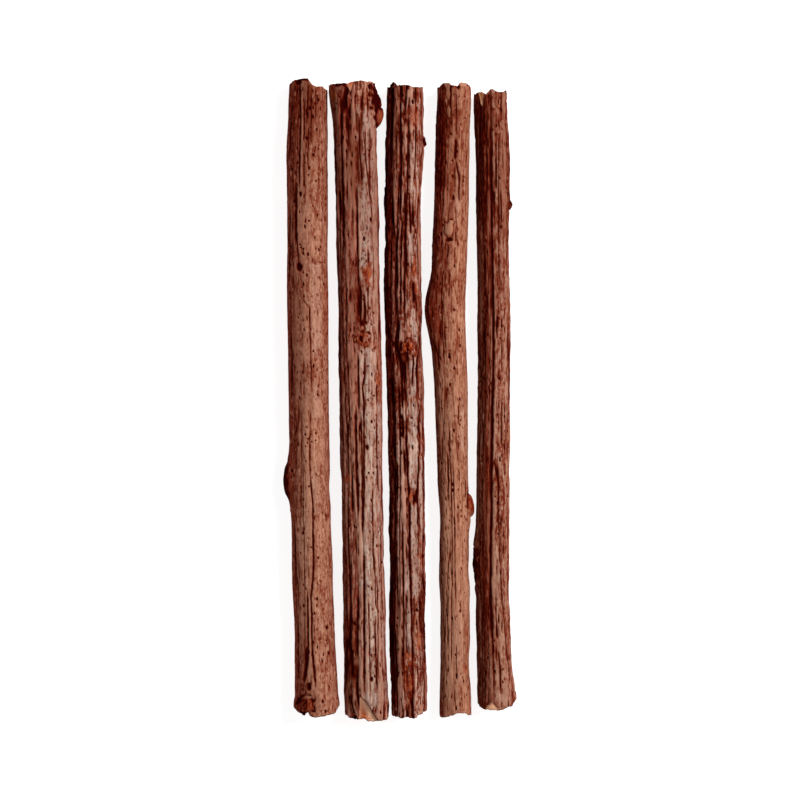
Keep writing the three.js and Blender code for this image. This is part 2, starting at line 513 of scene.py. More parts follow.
def addNode(tree, kind, inputs=(), **settings):
    node = tree.nodes.new(kind)
    for name, value in settings.items():
        setattr(node, name, value)
    for socket, value in dict(inputs).items():
        if isinstance(value, bpy.types.NodeSocket):
            tree.links.new(value, node.inputs[socket])
        else:
            node.inputs[socket].default_value = value
    return node


def grainNoise(tree, coordinates, scale, detail=3.0, roughness=0.55):
    # scale is in waves for each millimetre, across, along and up
    mapping = addNode(tree, "ShaderNodeMapping", {"Vector": coordinates,
                                                  "Scale": [value / mm for value in scale]})
    texture = addNode(tree, "ShaderNodeTexNoise", {"Vector": mapping.outputs["Vector"], "Scale": 1.0,
                                                   "Detail": detail, "Roughness": roughness})
    return texture.outputs["Fac"]


def remap(tree, value, low, high, toLow=0.0, toHigh=1.0):
    node = addNode(tree, "ShaderNodeMapRange", {"Value": value, "From Min": low, "From Max": high,
                                                "To Min": toLow, "To Max": toHigh})
    return node.outputs["Result"]


def calculate(tree, operation, a, b, clamp=True):
    node = addNode(tree, "ShaderNodeMath", {0: a, 1: b}, operation=operation, use_clamp=clamp)
    return node.outputs["Value"]


def mixColours(tree, share, a, b, blend="MIX"):
    node = addNode(tree, "ShaderNodeMix", {0: share, 6: a, 7: b}, data_type="RGBA", blend_type=blend)
    return node.outputs[2]


def readMark(tree, name):
    return addNode(tree, "ShaderNodeAttribute", attribute_name=name).outputs["Fac"]


def barkMaterial(look):
    colours = {name: (*value, 1.0) for name, value in look["colours"].items()}
    material = bpy.data.materials.new(look["node"] + "_finish")
    material.use_nodes = True
    tree = material.node_tree
    shader = tree.nodes["Principled BSDF"]
    place = addNode(tree, "ShaderNodeTexCoord").outputs["Object"]
    dark, grey, pale, rust, stain, shade, wood, fromPith = (readMark(tree, name) for name in (
        "dark", "grey", "pale", "rust", "stain", "shade", "wood", "fromPith"))

    # bark: cloudy patches of brown, drawn out in streaks, broken by beads, specks and hairs
    clouds = grainNoise(tree, place, (0.35, 0.14, 0.35))
    streaks = grainNoise(tree, place, (1.1, 0.1, 1.1), 3.0, 0.6)
    beads = grainNoise(tree, place, (1.3, 0.42, 1.3), 2.5, 0.6)
    specks = grainNoise(tree, place, (2.2, 1.2, 2.2), 2.0, 0.55)
    hairs = grainNoise(tree, place, (2.3, 0.24, 2.3), 1.0, 0.5)
    weathered = calculate(tree, "MULTIPLY", grey, remap(tree, beads, 0.34, 0.5, 0.35, 1))
    bark = colours["brown"]
    for share, name in (
            (remap(tree, clouds, 0.36, 0.62), "tan"),
            (remap(tree, streaks, 0.34, 0.52, look["streaky"], 0), "umber"),
            (remap(tree, beads, 0.3, 0.46, look["beaded"], 0), "umber"),
            (remap(tree, beads, 0.56, 0.7, 0, look["flecked"]), "light"),
            (weathered, "grey"),
            (remap(tree, specks, 0.33, 0.44, look["specked"], 0), "umber"),
            (remap(tree, specks, 0.57, 0.68, 0, look["flecked"]), "light"),
            (remap(tree, hairs, 0.32, 0.42, look["haired"], 0), "umber"),
            (remap(tree, hairs, 0.58, 0.68, 0, look["haired"]), "light"),
            (calculate(tree, "MULTIPLY", pale, 0.9), "light")):
        bark = mixColours(tree, share, bark, colours[name])

    # stain and painted shade by side, patches of painted shade and tone, scars and cracks over it, and deeper
    # reds in whatever came out dark
    bark = mixColours(tree, stain, bark, colours["stain"], "MULTIPLY")
    # patches of painted shade, with some of the bark's own darker tone
    bark = mixColours(tree, shade, bark, (0.3, 0.17, 0.13, 1), "MULTIPLY")
    bark = mixColours(tree, calculate(tree, "MULTIPLY", pale, look["flecks"]), bark, colours["tan"])
    rusty = mixColours(tree, remap(tree, beads, 0.38, 0.58), colours["rustDark"], colours["rust"])
    bark = mixColours(tree, rust, bark, rusty)
    # the dark mark: darker brown where faint, near black where strong; in cracks, furrows and pits partly the
    # bark's own dark and partly painted shade in these recesses
    bark = mixColours(tree, calculate(tree, "MULTIPLY", dark, 2), bark, (0.5, 0.27, 0.18, 1), "MULTIPLY")
    bark = mixColours(tree, remap(tree, dark, 0.28, 0.75), bark, colours["crack"])
    red = addNode(tree, "ShaderNodeSeparateColor", {"Color": bark}).outputs["Red"]
    bark = mixColours(tree, remap(tree, red, 0.05, 0.24, 1, 0), bark, (1, 0.35, 0.15, 1), "MULTIPLY")

    # cut wood: faint rings round the pith, weathered patches, and drying cracks painted near black, partly as
    # the shade in them
    ringAt = calculate(tree, "ADD", calculate(tree, "MULTIPLY", fromPith, 30, False),
                       calculate(tree, "MULTIPLY", clouds, 16, False), False)
    rings = remap(tree, calculate(tree, "SINE", ringAt, 0, False), -1, 1, 0.45, 0)
    face = colours["wood"]
    for share, name in (
            (rings, "woodDark"),
            (remap(tree, specks, 0.36, 0.56, 0.7, 0), "woodDark"),
            (remap(tree, clouds, 0.4, 0.6, 0.5, 0), "woodDark"),
            (calculate(tree, "MULTIPLY", dark, 0.8), "crack"),
            (rust, "heart"),
            (remap(tree, fromPith, 0.07, 0.13, 0.85, 0), "crack")):
        face = mixColours(tree, share, face, colours[name])
    tree.links.new(mixColours(tree, wood, bark, face), shader.inputs["Base Color"])

    roughness = calculate(tree, "ADD", remap(tree, beads, 0.3, 0.7, 0.78, 0.9),
                          calculate(tree, "MULTIPLY", dark, 0.1))
    tree.links.new(roughness, shader.inputs["Roughness"])
    shader.inputs["Specular IOR Level"].default_value = 0.02
    height = calculate(tree, "ADD", calculate(tree, "MULTIPLY", beads, 0.8, False),
                       calculate(tree, "MULTIPLY", specks, 0.5, False), False)
    bump = addNode(tree, "ShaderNodeBump", {"Height": height, "Strength": 0.8, "Distance": 0.14 * mm})
    tree.links.new(bump.outputs["Normal"], shader.inputs["Normal"])
    return material


# The five twigs, left to right. Their rows say:
#   swells, lights, stain and shade spots, shades   place, side, length, width, amount
#   pits, scars                        place, side, length, width, and a scar's traits
#   greys                              from, to, side, width, amount
#   cracks, paleLines                  (place, side) points, width, strength
#   cracked, fibres                    count round the twig, lengths, gaps, strengths, widths
#   rough, stain and painted shade     side, amount
#   headRim, footRim                   side, place
#   chips                              a wedge from its point to its base, and its orange wood's
#                                      middle, spread and strength across it
# Pores and specks are counts. From streaky to strips: how strongly each pattern of the bark shows.

twigOne = {
    "node": "twig_1", "slot": "tan_bark", "seed": 11,
    "swells": [(43, 180, 38, 10, -0.42), (-71.4, 178, 5.5, 7, 0.35), (-71, 0, 5.5, 7, 0.35),
        (-40, 0, 20, 6, 0.12), (72, 180, 14, 8, 0.4), (-42, 180, 22, 7, 0.22), (32, 0, 18, 6, -0.15),
        (-21, 0, 8, 6, -0.25)],
    "ridgeWidth": 2.0, "furrowEdge": 0.05, "furrowDark": 0.5, "ridgeRise": 0.08, "lumpRise": 0.1,
    "beadRise": 0.08, "crackDepth": 0.34, "tear": 0.2,
    "rough": [(-180, 0.6), (-90, 0.5), (0, 0.7), (12, 0.6), (28, 0.3), (60, 0.25), (80, 0.4), (95, 0.9),
        (125, 1), (150, 0.8), (180, 0.6)],
    "stain": [(-180, 0.7), (-120, 0.5), (-60, 0.35), (-10, 0.5), (8, 0.6), (22, 0.32), (50, 0.14),
        (72, 0.05), (88, 0.15), (100, 0.3), (118, 0.5), (135, 0.7), (155, 0.8), (180, 0.75)],
    "cracked": (27, (0.9, 12), (0.6, 7), (0.5, 1), (0.11, 0.22)),
    "fibres": (27, (0.9, 8), (1, 8), (0.3, 0.9), (0.13, 0.24)), "pores": 800, "specks": 700,
    "streaky": 0.5, "beaded": 0.85, "flecked": 0.55, "specked": 0.8, "haired": 0.4, "flecks": 0.7,
    "strips": 0.3,
    "greys": [(10, 32, 64, 2.6, 0.4), (-5, 3, 65, 2, 0.4), (-26, -16, 72, 2, 0.4)],
    "cracks": [([(75, 122), (65, 111), (49, 109)], 0.26, 1), ([(51, 123), (36, 123)], 0.28, 1),
        ([(48, 118), (39, 120), (31, 114)], 0.2, 0.9), ([(24, 106), (22.5, 95), (21.5, 85)], 0.15, 0.8),
        ([(23, 84), (3, 80)], 0.17, 0.9), ([(0, 84), (-17, 86), (-24, 80), (-37, 84)], 0.22, 1),
        ([(-28, 83), (-40, 86), (-46, 96), (-58, 97), (-62, 93), (-66, 88)], 0.28, 1),
        ([(-57, 114), (-62, 120), (-66, 125)], 0.42, 1),
        ([(-44, 106), (-52, 108), (-60, 111), (-66, 121)], 0.3, 1), ([(-61, 94), (-66, 90)], 0.3, 1),
        ([(70, 150), (56, 150)], 0.2, 1), ([(45, 148), (28, 150)], 0.24, 1),
        ([(16, 146), (0, 150)], 0.22, 1), ([(-28, 148), (-44, 150)], 0.24, 1),
        ([(-50, 146), (-65, 148)], 0.24, 1), ([(-10, 104), (-30, 112), (-50, 118), (-66, 124)], 0.13, 0.7),
        ([(-68.2, 124), (-69, 112), (-68.8, 102)], 0.3, 1), ([(-69, 126), (-74, 126)], 0.3, 0.9),
        ([(74, 92), (65, 90)], 0.2, 0.9), ([(72, 80), (59, 78)], 0.17, 0.8),
        ([(73, 66), (65, 64)], 0.2, 0.8), ([(70, 101), (60, 99)], 0.2, 0.9),
        ([(64, 85), (54, 87)], 0.16, 0.8), ([(58, 97), (49, 96)], 0.18, 0.8)],
    "paleLines": [([(73, 112), (64, 105), (45, 105)], 0.26, 1), ([(50, 113), (36, 114)], 0.26, 1),
        ([(3, 84), (-36, 88)], 0.16, 0.7), ([(10, 120), (-12, 118)], 0.2, 0.5),
        ([(-45, 101), (-58, 103), (-65.5, 105)], 0.24, 1)],
    "pits": [(66, 75, 0.9, 0.8), (61, 90, 0.9, 0.8), (57, 70, 0.8, 0.6), (63, 60, 0.8, 0.7),
        (54, 82, 0.8, 0.6), (68, 84, 1.1, 0.7), (51, 62, 0.7, 0.6), (70, 56, 0.9, 0.7),
        (58.6, 54, 0.7, 0.6), (48, 107, 1, 0.9), (31, 112, 2, 1.7), (-46.3, 78, 0.8, 0.6),
        (-53, 47, 0.9, 0.9), (-56, 51, 0.6, 0.5), (-59, 44, 0.8, 0.7), (-48, 122, 0.8, 0.7),
        (8, 72, 0.6, 0.5), (6.4, 106, 0.6, 0.5), (-8, 99, 0.6, 0.5), (-9, 91, 0.6, 0.5),
        (-31, 115, 0.7, 0.6), (-26, 79, 0.6, 0.5), (35, 53, 0.6, 0.5), (-66.7, 109, 2, 1.1),
        (75, 108, 1.2, 6), (74.2, 128, 1.4, 2.4), (-73.6, 136, 1.6, 2)],
    "lights": [(-69.2, 114, 0.8, 2.2, 1), (73.5, 112, 2, 0.8, 0.5), (18, 60, 4, 3, 0.35),
        (-2, 62, 5, 2, 0.35)],
    "stainAndShadeSpots": [(-19, 184, 13, 4.6, 0.9), (70, 140, 14, 3, 0.8), (30, 118, 6, 3, 0.6)],
    "shades": [(67, 82, 26, 9, 0.8), (50, 90, 20, 8, 0.25), (-34, 112, 70, 6, -0.42),
        (-24, 70, 30, 8, -0.2), (12, 115, 30, 4, 0.15), (2, 82, 14, 3, 0.3), (-70, 112, 5, 8, 0.2)],
    "scars": [
        (-71, 120, 3.9, 3.5, dict(rise=0.25, rust=1, whole=0.7, rim=0.9, crackle=0.8, flow=0.8, wobble=0.6)),
        (20, 24, 16, 1.6, dict(rust=0.45)), (-19, 187, 11.5, 4.6, dict(rise=0.85, dark=0.9, whole=0.85))],
    "chips": [],
    "headRim": [(178, 73.9), (155, 74.35), (132, 74.95), (126, 75), (92, 74.95), (77, 73.45), (62, 73.05),
        (40, 73.1), (15, 72.4)],
    "footRim": [(178, -71.5), (155, -72.65), (137, -73.5), (128, -73.55), (123, -73.1), (114, -72.7),
        (107, -73.45), (90, -73.9), (75, -73.65), (57, -73.4), (40, -73.2), (25, -72.8), (8, -71.4)],
    "colours": {"tan": (0.345, 0.142, 0.085), "brown": (0.26, 0.09, 0.049), "umber": (0.12, 0.017, 0.005),
        "light": (0.52, 0.28, 0.19), "grey": (0.42, 0.25, 0.19), "stain": (0.4, 0.05, 0.0),
        "crack": (0.028, 0.0012, 0.0007), "rust": (0.33, 0.06, 0.02), "rustDark": (0.08, 0.01, 0.004),
        "wood": (0.52, 0.246, 0.131), "woodDark": (0.32, 0.123, 0.057), "heart": (0.5, 0.16, 0.07)}}

twigTwo = {
    "node": "twig_2", "slot": "grey_ridged_bark", "seed": 23,
    "swells": [(44, 0, 22, 6, 0.25), (25, 178, 16, 6, -0.15), (-71.5, 4, 6, 6, 0.3),
        (75.5, 178, 22, 8, 0.8), (75.5, 5, 12, 9, -1.5), (-14, 178, 12, 6, 0.25), (-60, 0, 18, 6, -0.32),
        (26, 0, 20, 6, -0.15)],
    "ridgeWidth": 1.7, "furrowEdge": 0.12, "furrowDark": 1, "ridgeRise": 0.14, "lumpRise": 0.12,
    "beadRise": 0.14, "crackDepth": 0.42, "tear": 0.25,
    "rough": [(-180, 0.8), (-90, 0.6), (0, 0.7), (30, 0.75), (60, 0.85), (90, 1), (180, 0.9)],
    "stain": [(-180, 0.6), (-90, 0.4), (0, 0.65), (20, 0.45), (40, 0.25), (60, 0.2), (75, 0.12), (84, 0.1),
        (93, 0.45), (108, 0.5), (135, 0.5), (160, 0.5), (180, 0.45)],
    "cracked": (27, (1, 18), (0.5, 5), (0.4, 1), (0.13, 0.28)),
    "fibres": (28, (0.9, 9), (0.8, 5), (0.4, 1), (0.14, 0.3)), "pores": 500, "specks": 500, "streaky": 0.6,
    "beaded": 0.7, "flecked": 0.5, "specked": 0.7, "haired": 0.7, "flecks": 0.7, "strips": 0.6,
    "greys": [(30, 68, 60, 5.8, 0.75), (27, 50, 86, 0.8, 1), (14, 30, 55, 4.2, 0.6),
        (-1, 12, 88, 1.6, 0.9), (-1, 12, 64, 3.4, 0.9), (-34, -1, 50, 5, 0.9), (-34, -2, 81, 2, 0.95),
        (-72, -32, 76, 3.8, 1), (-70, -34, 40, 3.4, 0.75)],
    "cracks": [([(66, 80), (58, 78), (50, 72)], 0.2, 1),
        ([(64, 63), (57, 63), (48, 52), (45, 42)], 0.18, 1), ([(64, 48), (48, 50)], 0.15, 0.9),
        ([(50, 88), (35, 90), (25, 89)], 0.26, 1), ([(27, 86), (22, 84), (17.5, 93)], 0.34, 1),
        ([(25, 76), (21, 73), (17, 76)], 0.3, 1),
        ([(12, 76), (6, 77), (3, 84), (-1, 81), (-13, 83), (-20, 84), (-33, 92)], 0.26, 1),
        ([(11, 95), (-3, 95)], 0.24, 1), ([(-1, 104), (-17, 105), (-28, 104)], 0.42, 1),
        ([(-2, 90), (-14, 89), (-33, 91)], 0.24, 1), ([(-33, 88), (-54, 92), (-69, 95)], 0.3, 1),
        ([(-48, 110), (-58, 111)], 0.32, 1), ([(-40, 51), (-54, 52), (-66, 58)], 0.18, 0.9),
        ([(72, 132), (56, 130), (34, 134)], 0.4, 1), ([(-2, 45), (-22, 40)], 0.2, 1),
        ([(-20, 60), (-40, 62)], 0.2, 1), ([(-26, 30), (-50, 34)], 0.2, 0.9),
        ([(-69.8, 103), (-72, 106), (-74, 105)], 0.2, 1), ([(-45, 78), (-58, 78), (-69, 79)], 0.2, 0.7),
        ([(-50, 60), (-68, 61)], 0.2, 1), ([(-57, 41), (-66, 40)], 0.28, 1),
        ([(-36, 58), (-49, 57)], 0.2, 0.9), ([(36, 62), (18, 66)], 0.18, 0.9),
        ([(-36, 128), (-58, 133)], 0.2, 0.8), ([(-5, 128), (-14, 132)], 0.3, 0.9)],
    "paleLines": [([(50, 84), (35, 86), (27, 88)], 0.2, 1), ([(24, 80), (18, 82)], 0.2, 1),
        ([(20, 90), (15, 92)], 0.22, 0.9), ([(9, 102), (4, 103)], 0.3, 0.7),
        ([(60, 128), (54, 126)], 0.22, 0.8), ([(-18, 112), (-28, 110)], 0.2, 0.8),
        ([(-50, 106), (-69, 108)], 0.24, 1), ([(-52, 86), (-69, 86)], 0.24, 0.9),
        ([(-55, 40), (-68, 42)], 0.26, 0.9), ([(-1, 100), (-15, 99)], 0.2, 0.7)],
    "pits": [(-11, 74, 1.1, 0.9), (-17, 70, 0.6, 0.5), (0, 70, 0.6, 0.5), (-5, 60, 0.7, 0.6),
        (-44, 68, 0.6, 0.5), (-65, 75, 1.2, 0.7), (42, 50, 0.9, 0.7), (-34, 50, 0.7, 0.5),
        (-72, 16, 1.6, 1.6), (74, 140, 2.2, 3.4), (71, 26, 4.6, 2.2), (72, 113, 2.4, 0.7),
        (-74.2, 134, 1.2, 2.2)],
    "lights": [(71.6, 80, 1.2, 0.8, 1), (74.2, 60, 0.9, 1.6, 0.8), (72.8, 132, 1.2, 0.8, 0.8),
        (-73.6, 60, 2.2, 1, 0.7), (-62.5, 114, 6, 1.6, 0.4)],
    "stainAndShadeSpots": [(65, 132, 26, 2.2, 0.6), (70.5, 8, 6, 4, 1), (5, 165, 120, 2, 0.6)],
    "shades": [(54, 98, 26, 4, 0.9), (46, 45, 46, 8, 0.4), (23, 97, 14, 4, 0.9), (-36, 83, 66, 5, -0.4),
        (-14, 80, 22, 3, -0.5), (-64, 134, 22, 9, -0.45), (-20, 115, 40, 5, -0.3), (-66, 35, 14, 6, 0.4),
        (-66, 142, 18, 6, 0.3)],
    "scars": [
        (14, 82, 4.2, 3, dict(rise=0.22, rust=1, rim=0.7, core=0.8, flow=0.5, crackle=1, wobble=0.9)),
        (29.6, 63, 4.6, 2.2, dict(rise=0.05, rust=1, core=0.3, flow=0.3, whole=0.6, crackle=0.6, wobble=0.8)),
        (4.9, 38, 2.8, 1.6, dict(rise=0.1, rust=0.9, rim=0.4, flow=0.3)),
        (-18.3, 135, 2.2, 2, dict(rise=0.1, rust=1, flow=0.2)),
        (-29.3, 58, 4, 1.6, dict(rust=0.6, flow=0.2)), (-57, 128, 3.5, 1.2, dict(rust=0.7)),
        (-60, 140, 26, 5, dict(rust=0.45, whole=0.2, clear=0)),
        (71.2, 156, 4.2, 2.4, dict(rust=1, whole=0.8, clear=1)),
        (70.6, 22, 8, 4.4, dict(rise=0.4, dark=1, wobble=0.9)),
        (66, 4, 4.2, 3.8, dict(rise=0.95, rust=1, rim=1, wobble=0.25, clear=1, whole=0.85))],
    "chips": [
        {"from": -69, "to": -75.2, "point": 104, "base": (50, 122), "bow": 0.9, "depth": 0.9, "bare": 1,
         "edge": 0.8, "orange": (0.68, 0.32, 1)},
        {"from": 71.7, "to": 74.6, "point": 103, "base": (91, 121), "bow": 0.8, "depth": 0.35,
         "bare": 0.75, "edge": 0.9, "orange": (0.5, 1, 1)}],
    "headRim": [(178, 73), (165, 73.7), (142, 73.85), (112, 73.8), (101, 74.1), (86, 74.25), (68, 74.45),
        (56, 74.2), (31, 74.15), (5, 73.9)],
    "footRim": [(178, -73), (162, -73.3), (145, -74.3), (135, -74.55), (121, -74.3), (95, -74.55),
        (74, -74.95), (63, -75.1), (50, -74.8), (31, -74.7), (10, -74)],
    "colours": {"tan": (0.33, 0.125, 0.072), "brown": (0.25, 0.082, 0.043), "umber": (0.1, 0.013, 0.004),
        "light": (0.51, 0.33, 0.25), "grey": (0.42, 0.335, 0.28), "stain": (0.6, 0.05, 0.0),
        "crack": (0.025, 0.001, 0.0006), "rust": (0.32, 0.068, 0.022), "rustDark": (0.15, 0.025, 0.01),
        "wood": (0.8, 0.46, 0.3), "woodDark": (0.62, 0.3, 0.18), "heart": (0.5, 0.11, 0.04)}}

twigThree = {
    "node": "twig_3", "slot": "dark_ridged_bark", "seed": 37,
    "swells": [(-54, 180, 30, 8, 0.55), (58, 0, 10, 5, 0.25), (14, 0, 26, 6, -0.33),
        (47, 180, 20, 6, 0.25), (27, 180, 26, 7, 0.35), (-33, 180, 26, 7, 0.4), (-51, 0, 18, 6, -0.35)],
    "ridgeWidth": 1.5, "furrowEdge": 0.16, "furrowDark": 1, "ridgeRise": 0.16, "lumpRise": 0.14,
    "beadRise": 0.17, "crackDepth": 0.45, "tear": 0.3,
    "rough": [(-180, 1), (-90, 0.8), (0, 1), (180, 1)],
    "stain": [(-180, 0.8), (-120, 0.45), (-20, 0.5), (0, 0.8), (22, 0.6), (40, 0.2), (60, 0), (78, 0.1),
        (88, 0.2), (104, 0.3), (116, 0.55), (128, 0.85), (145, 1), (180, 0.9)],
    "cracked": (24, (1, 20), (0.4, 4), (0.5, 1), (0.15, 0.33)),
    "fibres": (27, (0.8, 9), (0.6, 4), (0.5, 1), (0.14, 0.3)), "pores": 400, "specks": 650, "streaky": 0.8,
    "beaded": 0.8, "flecked": 0.6, "specked": 0.8, "haired": 0.75, "flecks": 0.75, "strips": 0.65,
    "greys": [(1, 9, 68, 2.6, 0.8), (32, 39, 62, 1.6, 1), (14, 21, 50, 1.8, 0.8), (-21, -0.5, 66, 2.3, 1),
        (-38, -24, 64, 2.2, 1), (-46, -37, 91, 1.2, 1), (-46, -37, 60, 2.2, 1), (-61, -47, 88, 1.6, 1),
        (46, 60, 62, 1.4, 0.5), (-36, -14, 30, 1.6, 0.7), (-60, -10, 121, 1, 0.6)],
    "cracks": [([(75, 112), (66, 104), (56, 98), (41, 101)], 0.3, 1),
        ([(64, 78), (50, 75), (35, 84), (18, 88)], 0.28, 1), ([(41, 104), (28, 117), (17, 116)], 0.3, 1),
        ([(45, 94), (31, 97), (20, 100)], 0.24, 1),
        ([(0, 90), (-10, 89), (-17, 88), (-24, 82), (-31, 84), (-38, 84), (-47, 79), (-61, 77),
            (-75, 78)], 0.36, 1),
        ([(0, 38), (-13, 42), (-24, 51), (-31, 42)], 0.26, 1), ([(-14, 122), (-24, 127)], 0.3, 1),
        ([(-27, 112), (-31, 108), (-54, 106), (-62, 107), (-72, 103)], 0.24, 1),
        ([(3, 110), (-10, 112)], 0.3, 1), ([(12, 66), (9, 60), (3, 66)], 0.25, 1),
        ([(9, 88), (4, 92), (0, 88)], 0.25, 1), ([(72, 84), (66, 88)], 0.3, 1),
        ([(50, 84), (34, 80), (22, 78)], 0.26, 1)],
    "paleLines": [([(74, 110), (66, 108)], 0.16, 1), ([(65, 86), (57, 82)], 0.2, 1),
        ([(54, 115), (49, 117)], 0.22, 0.9), ([(60, 121), (58, 121)], 0.3, 1),
        ([(49, 89), (41, 96), (37, 106), (18, 108)], 0.16, 0.9), ([(33, 93), (28, 94)], 0.2, 0.9),
        ([(30, 80), (24, 80)], 0.2, 0.9), ([(-14, 110), (-20, 104), (-26, 95), (-38, 92)], 0.18, 1),
        ([(8, 122), (4, 120)], 0.2, 0.7), ([(-30, 122), (-50, 123), (-70, 121)], 0.2, 1),
        ([(-52, 104), (-62, 103)], 0.16, 0.9), ([(66, 148), (52, 150)], 0.2, 0.8),
        ([(40, 146), (26, 144)], 0.2, 0.8), ([(10, 150), (-4, 148)], 0.2, 0.8),
        ([(-18, 146), (-34, 150)], 0.2, 0.8), ([(-50, 148), (-64, 146)], 0.2, 0.8),
        ([(32, 126), (14, 127)], 0.16, 0.9)],
    "pits": [(52, 70, 0.8, 0.7), (-4, 108, 1, 0.9), (-8, 106, 0.9, 0.8), (-49, 58, 0.7, 0.6),
        (69.5, 62, 1.2, 0.7), (71, 18, 3, 0.9)],
    "lights": [(71.4, 78, 2.2, 0.8, 0.9), (63.4, 69, 2.2, 0.7, 1), (-72.6, 43, 1.8, 1.2, 1),
        (-72.3, 156, 3, 0.6, 1), (60.6, 124, 1.6, 0.5, 1), (73, 136, 1, 0.7, 0.7)],
    "stainAndShadeSpots": [(8, 108, 9, 4, 0.6)],
    "shades": [(64, 118, 26, 4.4, 0.7), (36, 80, 44, 2.8, 0.6), (-34, 118, 60, 4, -0.35),
        (-24, 50, 34, 4, -0.2), (-52, 32, 22, 4, 1), (-34, 100, 12, 2.4, 0.4), (-10, 100, 26, 3, -0.5),
        (-62, 107, 24, 4, -0.6), (-23, 55, 12, 3, -0.5), (60, 60, 16, 4, 0.3), (2, 60, 12, 2, 0.4),
        (-57, 122, 30, 5, 0.6), (-46, 34, 34, 4, 0.2)],
    "scars": [
        (12.4, 76, 2.6, 3.4, dict(rise=0.22, rust=1, rim=0.7, core=0.6, flow=0.6, wobble=0.9, crackle=1)),
        (31.1, 46, 4.4, 1.3, dict(rust=0.95)), (26.1, 40, 3.4, 1.2, dict(rust=0.8)),
        (-22.8, 77, 3, 1.4, dict(rise=0.08, rust=1, rim=0.5)),
        (-63.6, 93, 13, 3, dict(rust=0.95, clear=0.6, whole=0.35, crackle=0.7)),
        (-36, 36, 10, 1.2, dict(rust=0.7)), (-56, 54, 5, 1.5, dict(rust=0.7)),
        (66, 56, 6, 2.6, dict(rust=0.6)), (-48, 157, 62, 2.6, dict(dark=0.4)),
        (44, 152, 60, 3.2, dict(dark=0.4)), (60.4, 6, 2.6, 1.8, dict(rise=0.9, dark=1, wobble=0.1))],
    "chips": [],
    "headRim": [(175, 72.8), (158, 73.2), (145, 73.85), (133, 74.35), (123, 73.85), (114, 73.3),
        (108, 73.6), (103, 73.45), (77, 73.45), (63, 72.9), (47, 73.05), (31, 72.75), (5, 73.2)],
    "footRim": [(178, -73.4), (154, -73.95), (117, -74.05), (103, -74.1), (85, -74), (63, -74.3),
        (59, -73.65), (36, -73.2), (8, -72.4)],
    "colours": {"tan": (0.33, 0.112, 0.06), "brown": (0.21, 0.062, 0.034), "umber": (0.075, 0.009, 0.004),
        "light": (0.54, 0.37, 0.3), "grey": (0.45, 0.355, 0.305), "stain": (0.36, 0.08, 0.06),
        "crack": (0.018, 0.0005, 0.0004), "rust": (0.37, 0.075, 0.022), "rustDark": (0.11, 0.012, 0.004),
        "wood": (0.46, 0.211, 0.115), "woodDark": (0.26, 0.088, 0.041), "heart": (0.5, 0.16, 0.07)}}

